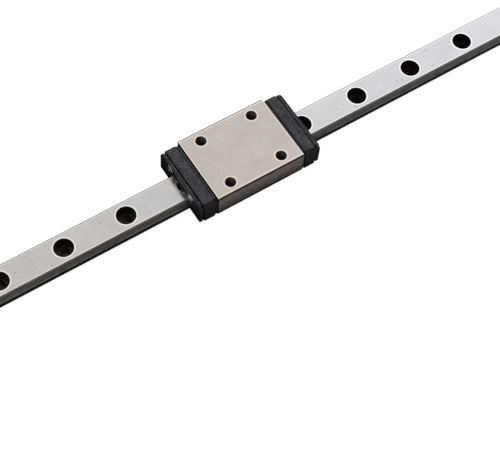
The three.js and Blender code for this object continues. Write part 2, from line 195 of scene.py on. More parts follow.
class Nodes:
    """A material's node tree, with short calls to add nodes and join them."""

    def __init__(self, name):
        self.material = bpy.data.materials.new(name)
        self.material.use_nodes = True
        self.tree = self.material.node_tree
        self.shader = self.tree.nodes["Principled BSDF"]
        self.place = self.tree.nodes.new("ShaderNodeTexCoord").outputs["Object"]

    def split(self, vector):
        """A vector's three parts."""
        node = self.tree.nodes.new("ShaderNodeSeparateXYZ")
        self.put(node.inputs["Vector"], vector)
        return node.outputs["X"], node.outputs["Y"], node.outputs["Z"]

    def put(self, socket, value):
        """Joins a socket to a node's output, or sets it to a constant."""
        if isinstance(value, bpy.types.NodeSocket):
            self.tree.links.new(value, socket)
        else:
            socket.default_value = value

    def noise(self, scale, stretch=(1, 1, 1), detail=3.0, roughness=0.5):
        """Noise with scale features to a millimetre, drawn out along each axis by stretch."""
        mapping = self.tree.nodes.new("ShaderNodeMapping")
        self.put(mapping.inputs["Vector"], self.place)
        mapping.inputs["Scale"].default_value = [scale / MM / s for s in stretch]
        texture = self.tree.nodes.new("ShaderNodeTexNoise")
        self.put(texture.inputs["Vector"], mapping.outputs["Vector"])
        texture.inputs["Scale"].default_value = 1.0
        texture.inputs["Detail"].default_value = detail
        texture.inputs["Roughness"].default_value = roughness
        return texture.outputs["Fac"]

    def spread(self, value, low, high, start=0.3, end=0.7, smooth=False):
        """A value from start to end stretched to run from low to high."""
        node = self.tree.nodes.new("ShaderNodeMapRange")
        node.interpolation_type = "SMOOTHSTEP" if smooth else "LINEAR"
        self.put(node.inputs["Value"], value)
        node.inputs["From Min"].default_value = start
        node.inputs["From Max"].default_value = end
        node.inputs["To Min"].default_value = low
        node.inputs["To Max"].default_value = high
        return node.outputs["Result"]

    def math(self, operation, a, b=0.0):
        """One step of arithmetic on sockets or numbers."""
        node = self.tree.nodes.new("ShaderNodeMath")
        node.operation = operation
        self.put(node.inputs[0], a)
        self.put(node.inputs[1], b)
        return node.outputs["Value"]

    def total(self, *parts):
        """The sum of (value, weight) parts."""
        sums = [self.math("MULTIPLY", value, weight) for value, weight in parts]
        result = sums[0]
        for more in sums[1:]:
            result = self.math("ADD", result, more)
        return result

    def length(self, a, b):
        """The length of the vector with parts a and b."""
        squares = self.math("ADD", self.math("MULTIPLY", a, a), self.math("MULTIPLY", b, b))
        return self.math("SQRT", squares)

    def band(self, value, middle, width):
        """1 close to the middle and 0 away from it, in a soft band; sizes in millimetres."""
        off = self.math("ABSOLUTE", self.math("SUBTRACT", value, middle * MM))
        return self.spread(off, 1.0, 0.0, 0.35 * width * MM, 0.65 * width * MM)

    def specks(self, spacing, radius):
        """1 in small specks about spacing millimetres apart, seen from above, 0 elsewhere."""
        texture = self.tree.nodes.new("ShaderNodeTexVoronoi")
        texture.voronoi_dimensions = "2D"
        self.put(texture.inputs["Vector"], self.place)
        texture.inputs["Scale"].default_value = 1 / (spacing * MM)
        near = radius / spacing
        return self.spread(texture.outputs["Distance"], 1.0, 0.0, 0.5 * near, near)

    def blend(self, factor, a, b):
        """A colour that goes from a to b."""
        node = self.tree.nodes.new("ShaderNodeMix")
        node.data_type = "RGBA"
        self.put(node.inputs["Factor"], factor)
        self.put(node.inputs["A"], a)
        self.put(node.inputs["B"], b)
        return node.outputs["Result"]

    def bump(self, height, depth, strength=1.0, normal=None):
        """Relief of the given depth in millimetres."""
        node = self.tree.nodes.new("ShaderNodeBump")
        node.inputs["Strength"].default_value = strength
        node.inputs["Distance"].default_value = depth * MM
        self.put(node.inputs["Height"], height)
        if normal:
            self.put(node.inputs["Normal"], normal)
        return node.outputs["Normal"]

    def finish(self, **inputs):
        """Sets the shader's inputs, named with _ for a space, and gives the material."""
        for name, value in inputs.items():
            self.put(self.shader.inputs[name.replace("_", " ")], value)
        return self.material


class WorldNodes(Nodes):
    """The world's node tree."""

    def __init__(self, name):
        world = bpy.data.worlds.new(name)
        world.use_nodes = True
        bpy.context.scene.world = world
        self.tree = world.node_tree
        self.shader = self.tree.nodes["Background"]
        self.place = self.tree.nodes.new("ShaderNodeTexCoord").outputs["Generated"]


def rgb(red, green, blue):
    return (red, green, blue, 1.0)


def ground_steel(nodes, light, dark, along, painted_highlight, pits_and_shade, seal_band=0.0):
    """
    Ground steel: a fine mottle, faint lines along one axis and soft patches, all between the
    dark and the light colour. The metal is dark where pits_and_shade is 1, which marks both
    pitting and painted shade; it has a painted highlight where painted_highlight is 1; and it is
    tan where seal_band is 1.
    """
    stretch = tuple(40 if axis == along else 1 for axis in "xyz")
    fine = nodes.noise(7, stretch, detail=3)
    mottle = nodes.noise(2.6, detail=5, roughness=0.7)
    patch = nodes.noise(0.16, detail=3, roughness=0.5)
    cloud = nodes.noise(0.5, detail=3, roughness=0.5)
    tone = nodes.total((fine, 0.2), (mottle, 0.3), (cloud, 0.2), (patch, 0.3))
    colour = nodes.blend(nodes.spread(tone, 0, 1, 0.42, 0.58), rgb(*dark), rgb(*light))
    # darker tan beside the rear seal where seal_band is 1
    colour = nodes.blend(seal_band, colour, rgb(*SEAL_BAND_TAN))
    # dark for pitting, and for painted shade on the block's fillets
    colour = nodes.blend(pits_and_shade, colour, rgb(*PITS_AND_SHADE))
    # a painted highlight where painted_highlight is 1
    colour = nodes.blend(painted_highlight, colour, rgb(*[min(1.0, HIGHLIGHT_GAIN * c) for c in light]))
    gloss = nodes.spread(mottle, 0.2, 0.3)
    relief = nodes.bump(fine, 0.0008)
    waves = nodes.bump(nodes.noise(0.3, detail=2), 0.004, normal=relief)
    return nodes.finish(Base_Color=colour, Metallic=1.0, Roughness=gloss, Normal=waves)


def rail_top_steel():
    """
    The rail's ground top: a painted highlight along its edges and round its holes, scattered
    with dark specks, and with a darker tan band beside where the rear seal stands.
    """
    nodes = Nodes("rail_ground_steel")
    x, y, _ = nodes.split(nodes.place)
    half_pitch = HOLE_PITCH / 2 * MM
    from_hole = nodes.math("SUBTRACT", half_pitch, nodes.math("PINGPONG", x, half_pitch))
    # a painted highlight round each hole
    rim = nodes.band(nodes.length(from_hole, y), HOLE_HEAD_RADIUS + HOLE_CHAMFER + 0.12, 0.3)
    # a painted highlight along each top edge
    highlight_y = RAIL_HIGH.y - RAIL_TOP_CHAMFER - 0.1
    edge = nodes.math("MULTIPLY", nodes.band(nodes.math("ABSOLUTE", y), highlight_y, 0.24), 0.6)
    painted_highlight = nodes.math("MAXIMUM", rim, edge)
    uneven = nodes.spread(nodes.noise(0.45, detail=1), 0.0, 1.0, 0.44, 0.58)
    pits_and_shade = nodes.math("MULTIPLY", nodes.specks(3.4, 0.17), uneven)
    seal_x = node_box("end_seal_rear")[0].x
    # a darker tan band on the top beside the rear seal
    seal_band = nodes.math("MULTIPLY", nodes.band(x, seal_x - 0.1, 1.5), 0.8)
    return ground_steel(nodes, (0.675, 0.67, 0.685), (0.6, 0.595, 0.605), "x", painted_highlight, pits_and_shade, seal_band)


def block_top_steel():
    """
    The block's ground top: a painted highlight along its edges and round its tapped holes, and
    painted shade on the fillets at its two sides.
    """
    nodes = Nodes("block_ground_steel")
    x, y, height = nodes.split(nodes.place)
    from_middle = nodes.math("ABSOLUTE", nodes.math("SUBTRACT", x, CARRIAGE_X * MM))
    across = nodes.math("ABSOLUTE", y)
    to_hole = nodes.length(
        nodes.math("SUBTRACT", from_middle, MOUNT_SPACING_X / 2 * MM),
        nodes.math("SUBTRACT", across, MOUNT_SPACING_Y / 2 * MM),
    )
    # painted highlights round the tapped holes and along the ends and sides of the top
    rim = nodes.band(to_hole, MOUNT_RADIUS + MOUNT_CHAMFER + 0.15, 0.34)
    end_highlight = nodes.band(from_middle, (BLOCK_HIGH.x - BLOCK_LOW.x) / 2 - 0.07, 0.24)
    crease = BLOCK_HIGH.y - BLOCK_TOP_CHAMFER
    side_highlight = nodes.band(across, crease - 0.3, 0.26)
    edges = nodes.math("MAXIMUM", nodes.math("MULTIPLY", side_highlight, 0.6), end_highlight)
    painted_highlight = nodes.math("MAXIMUM", nodes.math("MULTIPLY", rim, 0.6), edges)
    on_top = nodes.math("GREATER_THAN", height, (BLOCK_HIGH.z - 0.07) * MM)
    painted_highlight = nodes.math("MULTIPLY", painted_highlight, on_top)
    # painted shade on the fillets along the two sides
    pits_and_shade = nodes.spread(across, 0.0, 1.0, (crease - 0.12) * MM, (crease - 0.06) * MM)
    return ground_steel(nodes, (0.62, 0.568, 0.548), (0.555, 0.485, 0.45), "y", painted_highlight, pits_and_shade)


def side_steel(name, light, dark, low, high, foot, crest, highlight_line=None):
    """
    A steel side: mottled and lined along the rail, with painted shade that darkens it downwards
    from high to low and leaves it nearly black below foot and above crest. highlight_line is the
    middle and width of a painted highlight line.
    """
    nodes = Nodes(name)
    height = nodes.split(nodes.place)[2]
    mottle = nodes.noise(1.3, (1.8, 1, 1), detail=5, roughness=0.7)
    lines = nodes.noise(2.5, (30, 1, 1), detail=3)
    # painted shade: darker downwards from high to low
    level = nodes.spread(height, 0.0, 1.0, low * MM, high * MM)
    tone = nodes.total((level, 0.9), (mottle, 1.3), (lines, 1.3))
    colour = nodes.blend(nodes.spread(tone, 0.0, 1.0, 1.2, 2.3), rgb(*dark), rgb(*light))
    if highlight_line:
        # a painted highlight line at the given height
        colour = nodes.blend(nodes.band(height, *highlight_line), colour, rgb(*SIDE_HIGHLIGHT))
    # painted shade: nearly black below foot and above crest
    above_foot = nodes.spread(height, 0.0, 1.0, (foot - 0.35) * MM, (foot + 0.35) * MM)
    below_crest = nodes.spread(height, 1.0, 0.0, (crest - 0.05) * MM, (crest + 0.05) * MM)
    unshaded = nodes.math("MULTIPLY", above_foot, below_crest)
    colour = nodes.blend(unshaded, rgb(*PAINTED_SHADE), colour)
    gloss = nodes.spread(mottle, 0.24, 0.4)
    relief = nodes.bump(lines, 0.001)
    return nodes.finish(Base_Color=colour, Metallic=1.0, Roughness=gloss, Normal=relief)


def shaded_steel(name, light, dark):
    """Steel darkened with painted shade, in the holes and on the block's chamfers and ends."""
    nodes = Nodes(name)
    patch = nodes.noise(2.2, detail=5, roughness=0.6)
    grain = nodes.noise(30, detail=3)
    colour = nodes.blend(nodes.spread(patch, 0, 1), rgb(*dark), rgb(*light))
    gloss = nodes.spread(patch, 0.26, 0.46)
    relief = nodes.bump(grain, 0.004)
    return nodes.finish(Base_Color=colour, Metallic=0.85, Roughness=gloss, Normal=relief)


def moulded_plastic(kind, light, dark, outer=0.0):
    """
    Moulded black plastic for one kind of end part: a fine eroded grain with uneven gloss, and
    pale specks, partly grain and partly a painted sheen, that are strong on its lit top and faint
    on its sides, fading downwards. Painted shade keeps the top black beside the inner edge, and
    over the width outer along the outer one.
    """
    start, end = span(f"{kind}_front")
    top = node_box(f"{kind}_front")[1].z
    nodes = Nodes(f"{kind}_moulded")
    x, _, height = nodes.split(nodes.place)
    from_middle = nodes.math("ABSOLUTE", nodes.math("SUBTRACT", x, CARRIAGE_X * MM))
    past_start = nodes.spread(from_middle, 0.0, 1.0, (start + 0.12) * MM, (start + 0.3) * MM)
    edge = end - outer
    before_end = nodes.spread(from_middle, 1.0, 0.0, (edge - 0.1) * MM, (edge + 0.1) * MM)
    cloud = nodes.noise(0.6, detail=4, roughness=0.6)
    grain = nodes.noise(3.6, detail=4, roughness=0.75)
    tone = nodes.total((cloud, 0.25), (grain, 0.75))
    # a painted sheen on the top, held back by painted shade beside the inner and outer edges
    on_top = nodes.spread(height, 0.0, 1.0, (top - 0.15) * MM, (top - 0.03) * MM)
    on_top = nodes.math("MULTIPLY", on_top, nodes.math("MULTIPLY", past_start, before_end))
    # a fainter painted sheen on the sides, darker downwards
    on_side = nodes.spread(height, 0.02, 0.24, 2.8 * MM, 4.6 * MM)
    # where the painted sheen shows
    where = nodes.math("MAXIMUM", on_top, on_side)
    pale = nodes.math("MULTIPLY", nodes.spread(tone, 0.0, 1.0, 0.43, 0.68), where)
    return nodes.finish(
        Base_Color=nodes.blend(pale, rgb(*dark), rgb(*light)),
        Roughness=nodes.spread(cloud, 0.26, 0.38),
        Specular_IOR_Level=0.25,
        Normal=nodes.bump(grain, 0.1),
    )


def bright_steel(name, tint, roughness, depth=0.0006):
    """Drawn or turned bright steel with fine scratches."""
    nodes = Nodes(name)
    scratch = nodes.noise(25, (1, 4, 4), detail=5)
    haze = nodes.noise(1.5, detail=3)
    colour = nodes.blend(nodes.spread(haze, 0, 1), rgb(*[0.9 * c for c in tint]), rgb(*tint))
    gloss = nodes.spread(haze, *roughness)
    relief = nodes.bump(scratch, depth)
    return nodes.finish(Base_Color=colour, Metallic=1.0, Roughness=gloss, Normal=relief)


RAIL_STEEL = rail_top_steel()
# the rail's sides are painted darker than its top: painted shade
RAIL_SIDE_STEEL = side_steel(
    "rail_side_steel", (0.33, 0.312, 0.302), (0.07, 0.066, 0.062), 1.9, 3.2, 1.6, 5, (3.5, 0.8)
)
BLOCK_STEEL = block_top_steel()
BLOCK_SIDE_STEEL = side_steel(
    "block_side_steel", (1.0, 0.85, 0.775), (0.14, 0.12, 0.105), 2.2, 7.0, 2.9, 7.68
)
# dark steel for painted shade in the holes and on the block's chamfers and ends
HOLE_STEEL = shaded_steel("hole_shaded_steel", (0.055, 0.034, 0.025), (0.006, 0.004, 0.003))
CAP_PLASTIC = moulded_plastic("end_cap", (0.115, 0.111, 0.138), (0.001, 0.001, 0.002))
PLATE_PLASTIC = moulded_plastic("return_plate", (0.15, 0.136, 0.133), (0.008, 0.006, 0.005))
SEAL_RUBBER = moulded_plastic("end_seal", (0.15, 0.147, 0.165), (0.001, 0.001, 0.002), outer=0.5)
SCREW_STEEL = bright_steel("screw_steel", (0.4, 0.39, 0.38), (0.12, 0.2))
WIRE_STEEL = bright_steel("wire_bright_steel", (0.62, 0.61, 0.6), (0.18, 0.3))
BALL_STEEL = bright_steel("ball_polished_steel", (0.72, 0.72, 0.73), (0.04, 0.1), depth=0.0002)

# ---- outlines, as (y, z) points that run anticlockwise seen from the front ------------


def rounded(corners, steps=EDGE_STEPS):
    """An outline from (y, z, radius) corners, with each corner rounded to its radius."""
    points = []
    for i, (y, z, radius) in enumerate(corners):
        corner = Vector((y, z))
        if radius == 0:
            points.append(corner)
            continue
        to_last = (Vector(corners[i - 1][:2]) - corner).normalized()
        to_next = (Vector(corners[(i + 1) % len(corners)][:2]) - corner).normalized()
        half = to_last.angle(to_next) / 2
        centre = corner + (to_last + to_next).normalized() * (radius / sin(half))
        start = (corner + to_last * (radius / tan(half)) - centre).normalized()
        end = (corner + to_next * (radius / tan(half)) - centre).normalized()
        points += [centre + start.slerp(end, k / steps) * radius for k in range(steps + 1)]
    return points


def mirrored(half):
    """Both halves of an outline that is given as (y, z, radius) corners on its +Y half."""
    return half + [(-y, z, radius) for y, z, radius in reversed(half)]


def inset(points, amount):
    """The outline moved inward by amount."""
    moved = []
    for i, point in enumerate(points):
        into = (point - points[i - 1]).normalized()
        out = (points[(i + 1) % len(points)] - point).normalized()
        left_in = Vector((-into.y, into.x))
        left_out = Vector((-out.y, out.x))
        moved.append(point + (left_in + left_out) * (amount / (1 + left_in.dot(left_out))))
    return moved


def track_corners(side_y, towards, radius=TRACK_RADIUS, steps=10):
    """
    The corners of a Gothic-arch track cut in a side face at y = side_y, from its lower edge to
    its upper one. towards is 1 where the track is cut towards -Y, as in the rail's +Y side.
    """
    centre_y = BALL_Y + towards * TRACK_OFFSET
    mouth = acos(abs(centre_y - side_y) / radius)
    corners = []
    for half in (-1, 1):
        centre_z = BALL_Z - half * TRACK_OFFSET
        middle = asin(TRACK_OFFSET / radius)
        angles = [middle + (mouth - middle) * k / steps for k in range(steps + 1)]
        if half < 0:
            angles.reverse()
        for angle in angles:
            y = centre_y - towards * radius * cos(angle)
            corners.append((y, centre_z + half * radius * sin(angle), 0))
    del corners[steps]  # the two arcs meet in one point
    return corners


def rail_outline():
    """The rail's section: chamfered, with a track and a slot for the wire in each side."""
    side = RAIL_HIGH.y
    top = RAIL_HIGH.z
    keep = [c for c in track_corners(side, 1) if abs(c[1] - BALL_Z) > WIRE_SLOT_HALF_HEIGHT]
    middle = len(keep) // 2
    floor_y = BALL_Y + TRACK_OFFSET - sqrt(
        TRACK_RADIUS**2 - (WIRE_SLOT_HALF_HEIGHT + TRACK_OFFSET) ** 2
    )
    slot = [
        (floor_y, BALL_Z - WIRE_SLOT_HALF_HEIGHT, 0),
        (WIRE_SLOT_Y, BALL_Z - WIRE_SLOT_HALF_HEIGHT, WIRE_SLOT_FILLET),
        (WIRE_SLOT_Y, BALL_Z + WIRE_SLOT_HALF_HEIGHT, WIRE_SLOT_FILLET),
        (floor_y, BALL_Z + WIRE_SLOT_HALF_HEIGHT, 0),
    ]
    half = [
        (side - RAIL_BASE_CHAMFER, RAIL_LOW.z, STEEL_FILLET),
        (side, RAIL_LOW.z + RAIL_BASE_CHAMFER, STEEL_FILLET),
        *keep[:middle],
        *slot,
        *keep[middle:],
        (side, top - RAIL_TOP_CHAMFER, STEEL_FILLET),
        (side - RAIL_TOP_CHAMFER, top, STEEL_FILLET),
    ]
    return rounded(mirrored(half))


def block_outline():
    """The block's section: chamfered, and open below over the rail."""
    side = BLOCK_HIGH.y
    top = BLOCK_HIGH.z
    base = BLOCK_LOW.z
    track = list(reversed(track_corners(SLOT_HALF_WIDTH, -1)))
    half = [
        (SLOT_HALF_WIDTH, SLOT_TOP, SLOT_TOP_FILLET),
        *track,
        (SLOT_HALF_WIDTH, base, SLOT_BASE_FILLET),
        (side - BLOCK_BASE_CHAMFER, base, BLOCK_BASE_FILLET),
        (side, base + BLOCK_BASE_CHAMFER, BLOCK_BASE_FILLET),
        (side, top - BLOCK_TOP_CHAMFER, STEEL_FILLET),
        (side - BLOCK_TOP_CHAMFER, top, STEEL_FILLET),
    ]
    return rounded(mirrored(half))


def outer_corners(node, fillet):
    """The outside corners of the +Y half of an end part, from its base up to its top."""
    low, high = node_box(node)
    return [
        (high.y - CAP_BASE_CHAMFER, low.z, fillet),
        (high.y, low.z + CAP_BASE_CHAMFER, fillet),
        (high.y, high.z - CAP_TOP_CHAMFER, fillet),
        (high.y - CAP_TOP_CHAMFER, high.z, fillet),
    ]


def end_outline(node, rail_gap, fillet, lipped=False):
    """
    The outline of a part of the end assembly, open below to clear the rail by rail_gap. With
    lipped the opening follows the rail into its tracks.
    """
    base = node_box(node)[0].z
    side = RAIL_HIGH.y + rail_gap
    top = RAIL_HIGH.z + rail_gap
    chamfer = RAIL_TOP_CHAMFER + rail_gap * (1 - tan(pi / 8))
    tongue = reversed(track_corners(side, 1, TRACK_RADIUS - rail_gap)) if lipped else ()
    half = [
        (side - chamfer, top, 0),
        (side, top - chamfer, 0),
        *tongue,
        (side, base, fillet),
        *outer_corners(node, fillet),
    ]
    return rounded(mirrored(half), steps=5)


# ---- solids, in millimetres ---------------------------------------------------------


def solid(rings, closed_ends=True, paint=FACE):
    """A mesh from rings of points with the same count, joined in turn, with n-gon ends."""
    mesh = bpy.data.meshes.new("solid")
    form = bmesh.new()
    rows = [[form.verts.new(point) for point in ring] for ring in rings]
    count = len(rows[0])
    pairs = zip(rows, rows[1:]) if closed_ends else zip(rows, rows[1:] + rows[:1])
    for one, other in pairs:
        for i in range(count):
            j = (i + 1) % count
            form.faces.new((one[i], one[j], other[j], other[i]))
    if closed_ends:
        form.faces.new(list(reversed(rows[0])))
        form.faces.new(rows[-1])
    for face in form.faces:
        face.material_index = paint
    bmesh.ops.recalc_face_normals(form, faces=form.faces)
    form.to_mesh(mesh)
    form.free()
    for _ in range(PAINTS):
        mesh.materials.append(None)
    return mesh


def round_edge(radius):
    """Steps across a rounded end edge: how far in from the end, and in from the outline."""
    angles = [pi / 2 * k / EDGE_STEPS for k in range(EDGE_STEPS + 1)]
    return [(radius * (1 - cos(a)), radius * (1 - sin(a))) for a in angles]


def bevel_edge(size):
    """The same for a flat bevel."""
    return [(0, size), (size, 0)]


SHARP_EDGE = [(0, 0)]


def bar(points, x0, x1, front=SHARP_EDGE, back=SHARP_EDGE, paint=FACE):
    """The outline drawn out from x0 to x1, with the given edges round its ends."""
    places = [(x0 + x, depth) for x, depth in back]
    places += [(x1 - x, depth) for x, depth in reversed(front)]
    rings = []
    for x, depth in places:
        ring = inset(points, depth) if depth else points
        rings.append([(x, y, z) for y, z in ring])
    return solid(rings, paint=paint)


def turned(profile, steps=ROUND, closed=False, paint=FACE):
    """A solid turned about Z from (radius, z) points. A closed profile makes a ring."""
    rings = []
    for k in range(steps):
        angle = 2 * pi * k / steps
        rings.append([(r * cos(angle), r * sin(angle), z) for r, z in profile])
    if closed:
        return solid(rings, closed_ends=False, paint=paint)
    columns = [[ring[i] for ring in rings] for i in range(len(profile))]
    return solid(columns, paint=paint)


def thread(length, major, minor, pitch, steps=32, levels=8, paint=FACE):
    """A threaded rod about Z from 0 to length: a cylinder whose radius follows the helix."""
    rings = []
    for level in range(ceil(length / pitch * levels) + 1):
        z = min(level * pitch / levels, length)
        ring = []
        for k in range(steps):
            phase = (z / pitch - k / steps) % 1
            flank = 1 - abs(2 * phase - 1)
            depth = min(max(1.25 * flank - 0.125, 0), 1)
            radius = minor + (major - minor) * depth
            angle = 2 * pi * k / steps
            ring.append((radius * cos(angle), radius * sin(angle), z))
        rings.append(ring)
    return solid(rings, paint=paint)


def tube(path, radius, steps=20):
    """A round tube along a path that lies flat, at one height."""
    rings = []
    for i, point in enumerate(path):
        ahead = path[min(i + 1, len(path) - 1)]
        behind = path[max(i - 1, 0)]
        along = (ahead - behind).normalized()
        across = Vector((-along.y, along.x, 0))
        rings.append(
            [
                point + across * (radius * cos(a)) + Vector((0, 0, radius * sin(a)))
                for a in (2 * pi * k / steps for k in range(steps))
            ]
        )
    return solid(rings)


def moved(mesh, x=0.0, y=0.0, z=0.0, turn=None):
    """The mesh turned, then moved."""
    matrix = Matrix.Translation((x, y, z))
    mesh.transform(matrix @ turn if turn else matrix)
    return mesh


ALONG_X = Matrix.Rotation(pi / 2, 4, "Y")  # turns +Z to +X
REAR = Matrix.Rotation(pi, 4, "Z")  # turns a front part round to the rear


def rod_x(x0, x1, y, z, radius, paint=FACE):
    """A cylinder along X from x0 to x1."""
    profile = [(radius, 0), (radius, x1 - x0)]
    return moved(turned(profile, paint=paint), x0, y, z, ALONG_X)


def cuboid(low, high):
    """A box between two corners."""
    corners = ((low[1], low[2]), (high[1], low[2]), (high[1], high[2]), (low[1], high[2]))
    return bar([Vector(corner) for corner in corners], low[0], high[0])


# ---- pieces -------------------------------------------------------------------------


def holder(name, mesh):
    """An object in the scene that holds the mesh."""
    obj = bpy.data.objects.new(name, mesh)
    bpy.context.scene.collection.objects.link(obj)
    return obj


def carved(mesh, cutters, operation="DIFFERENCE"):
    """The mesh with each of the cutters taken away, or added."""
    if not cutters:
        return mesh
    work = holder("work", mesh)
    tools = []
    for cutter in cutters:
        tool = holder("tool", cutter)
        step = work.modifiers.new("cut", "BOOLEAN")
        step.operation = operation
        step.solver = "EXACT"
        step.material_mode = "INDEX"
        step.object = tool
        tools.append(tool)
    seen = work.evaluated_get(bpy.context.evaluated_depsgraph_get())
    result = bpy.data.meshes.new_from_object(seen)
    for obj in [work, *tools]:
        bpy.data.objects.remove(obj)
    return result


def cleaned(mesh):
    """The mesh without doubled points, smooth but for its sharp edges."""
    form = bmesh.new()
    form.from_mesh(mesh)
    bmesh.ops.remove_doubles(form, verts=form.verts, dist=1e-4)
    bmesh.ops.dissolve_degenerate(form, edges=form.edges, dist=1e-4)
    for face in form.faces:
        face.smooth = True
    for edge in form.edges:
        edge.smooth = not (len(edge.link_faces) == 2 and edge.calc_face_angle() > SHARP)
    form.to_mesh(mesh)
    form.free()
    return mesh


def piece(name, mesh, body, paints, nodes=()):
    """A finished piece: its mesh in metres, its materials, and what it stands for."""
    cleaned(mesh)
    mesh.transform(Matrix.Scale(MM, 4))
    for i, paint in enumerate(paints):
        mesh.materials[i] = paint
    while len(mesh.materials) > len(paints):
        mesh.materials.pop()
    mesh.name = name
    obj = holder(name, mesh)
    level = obj.modifiers.new("even_shading", "WEIGHTED_NORMAL")
    level.keep_sharp = True
    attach(obj, body)
    if nodes:
        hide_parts(*nodes)
    return obj


# how faces are told apart: the depth below the top where its chamfers lie, and the parts of
# their normals that point up, or along the rail
CREST_DEPTH = 0.3
LEVEL_SLOPE = 0.85
CHAMFER_SLOPE = 0.3
UPRIGHT_END = 0.9


def paint_sides(mesh, top, chamfer_paint=SIDE, end_paint=FACE):
    """
    Gives the sides of the rail or block the side paint, and the chamfers along its top and its
    two end faces theirs.
    """
    for face in mesh.polygons:
        slope = face.normal.z
        near_top = face.center.z > top - CREST_DEPTH
        if face.material_index != FACE or (near_top and slope > LEVEL_SLOPE):
            continue
        if abs(face.normal.x) > UPRIGHT_END:
            face.material_index = end_paint
        else:
            face.material_index = chamfer_paint if near_top and slope > CHAMFER_SLOPE else SIDE
    return mesh


def make_rail():
    """The rail, with painted shade on the walls and chamfers of its counterbored holes."""
    edge = round_edge(STEEL_END_EDGE)
    body = bar(rail_outline(), RAIL_LOW.x, RAIL_HIGH.x, edge, edge)
    top = RAIL_HIGH.z
    seat = top - HOLE_HEAD_DEPTH
    profile = [
        (HOLE_RADIUS, -OUTSIDE),
        (HOLE_RADIUS, seat),
        (HOLE_HEAD_RADIUS, seat),
        (HOLE_HEAD_RADIUS, top - HOLE_CHAMFER),
        (HOLE_HEAD_RADIUS + HOLE_CHAMFER + OUTSIDE, top + OUTSIDE),
    ]
    holes = []
    for i in range(HOLE_COUNT):
        x = (i - (HOLE_COUNT - 1) / 2) * HOLE_PITCH
        holes.append(moved(turned(profile, FINE, paint=BORE), x))
    mesh = paint_sides(carved(body, holes), top)
    paints = [RAIL_STEEL, HOLE_STEEL, RAIL_SIDE_STEEL]
    piece("ground_rail", mesh, "rail", paints, ["rail"])


def mount_cutters(x, y):
    """A tapped mounting hole: its thread, its chamfer and the drill's cone below."""
    top = BLOCK_HIGH.z
    floor = top - MOUNT_DEPTH
    length = MOUNT_DEPTH + OUTSIDE
    tap = thread(length, MOUNT_RADIUS, MOUNT_MINOR_RADIUS, MOUNT_THREAD_PITCH, paint=BORE)
    rim = MOUNT_RADIUS + MOUNT_CHAMFER
    into = 2 * MOUNT_CHAMFER
    mouth = turned([(rim - into, top - into), (rim + OUTSIDE, top + OUTSIDE)], FINE, paint=BORE)
    wide = MOUNT_MINOR_RADIUS - 0.03  # a little inside the thread, so that the two cut cleanly
    cone = turned([(OVERLAP, floor - DRILL_POINT), (wide, floor + OVERLAP)], paint=BORE)
    return [moved(tap, x, y, floor), moved(mouth, x, y), moved(cone, x, y)]


def make_block():
    """The carriage block: ground outside, with painted shade in its holes and on its chamfers and ends.
    """
    edge = round_edge(STEEL_END_EDGE)
    body = bar(block_outline(), BLOCK_LOW.x, BLOCK_HIGH.x, edge, edge)
    end = (BLOCK_HIGH.x - BLOCK_LOW.x) / 2
    cutters = []
    for side in SIDES.values():
        reach = end + OUTSIDE
        bore_y = side * RETURN_Y
        cutters.append(rod_x(-reach, reach, bore_y, BALL_Z, CHANNEL_RADIUS, paint=BORE))
        for turn in ENDS.values():
            xs = sorted((turn * SCREW_HOLE_END_X, turn * reach))
            cutters.append(rod_x(*xs, side * SCREW_Y, SCREW_Z, SCREW_HOLE_RADIUS, paint=BORE))
            cutters += mount_cutters(turn * MOUNT_SPACING_X / 2, side * MOUNT_SPACING_Y / 2)
    for cutter in cutters:
        moved(cutter, CARRIAGE_X)
    # the block's chamfers and ends take the dark hole steel: painted shade
    mesh = paint_sides(carved(body, cutters), BLOCK_HIGH.z, chamfer_paint=BORE, end_paint=BORE)
    paints = [BLOCK_STEEL, HOLE_STEEL, BLOCK_SIDE_STEEL]
    piece("ground_block", mesh, "carriage", paints, ["carriage_block"])


def end_plate(kind, rail_gap, edge, x1=None, lipped=False):
    """The blank of a front part of the end assembly, with rounded edges."""
    start, end = span(f"{kind}_front")
    fillet = edge + 0.08  # wider than the edge, so that the inset outline doesn't cross itself
    outline = end_outline(f"{kind}_front", rail_gap, fillet, lipped)
    return bar(outline, start, x1 or end, round_edge(edge), round_edge(edge))


def screw_hole(side, x0, x1, radius=SCREW_HOLE_RADIUS):
    """A cutter for the hole that an end screw stands in."""
    return rod_x(x0, x1, side * SCREW_Y, SCREW_Z, radius)


def grease_port(side):
    """A cutter for the port through the seal and into the cap."""
    start = span("end_cap_front")[1] - PORT_DEPTH
    end = span("end_seal_front")[1] + OUTSIDE
    return rod_x(start, end, side * PORT_Y, PORT_Z, PORT_RADIUS)


def turn_guide(side, gap=0.0):
    """The round post inside a ball turn."""
    height = GUIDE_HALF_HEIGHT + gap
    radius = GUIDE_RADIUS + gap
    post = turned([(radius, BALL_Z - height), (radius, BALL_Z + height)])
    return moved(post, TURN_X, side * TURN_Y)


def ball_turn(side, keep_back=True):
    """The ring that a ball turn is half of, or without keep_back its front half."""
    circle = [
        (TURN_RADIUS + CHANNEL_RADIUS * cos(a), CHANNEL_RADIUS * sin(a))
        for a in (2 * pi * k / ROUND for k in range(ROUND))
    ]
    ring = moved(turned(circle, closed=True), TURN_X, side * TURN_Y, BALL_Z)
    if keep_back:
        return ring
    reach = TURN_RADIUS + CHANNEL_RADIUS + OUTSIDE
    middle = side * TURN_Y
    back = cuboid((TURN_X - reach, middle - reach, -reach), (TURN_X, middle + reach, 2 * reach))
    return carved(ring, [back])


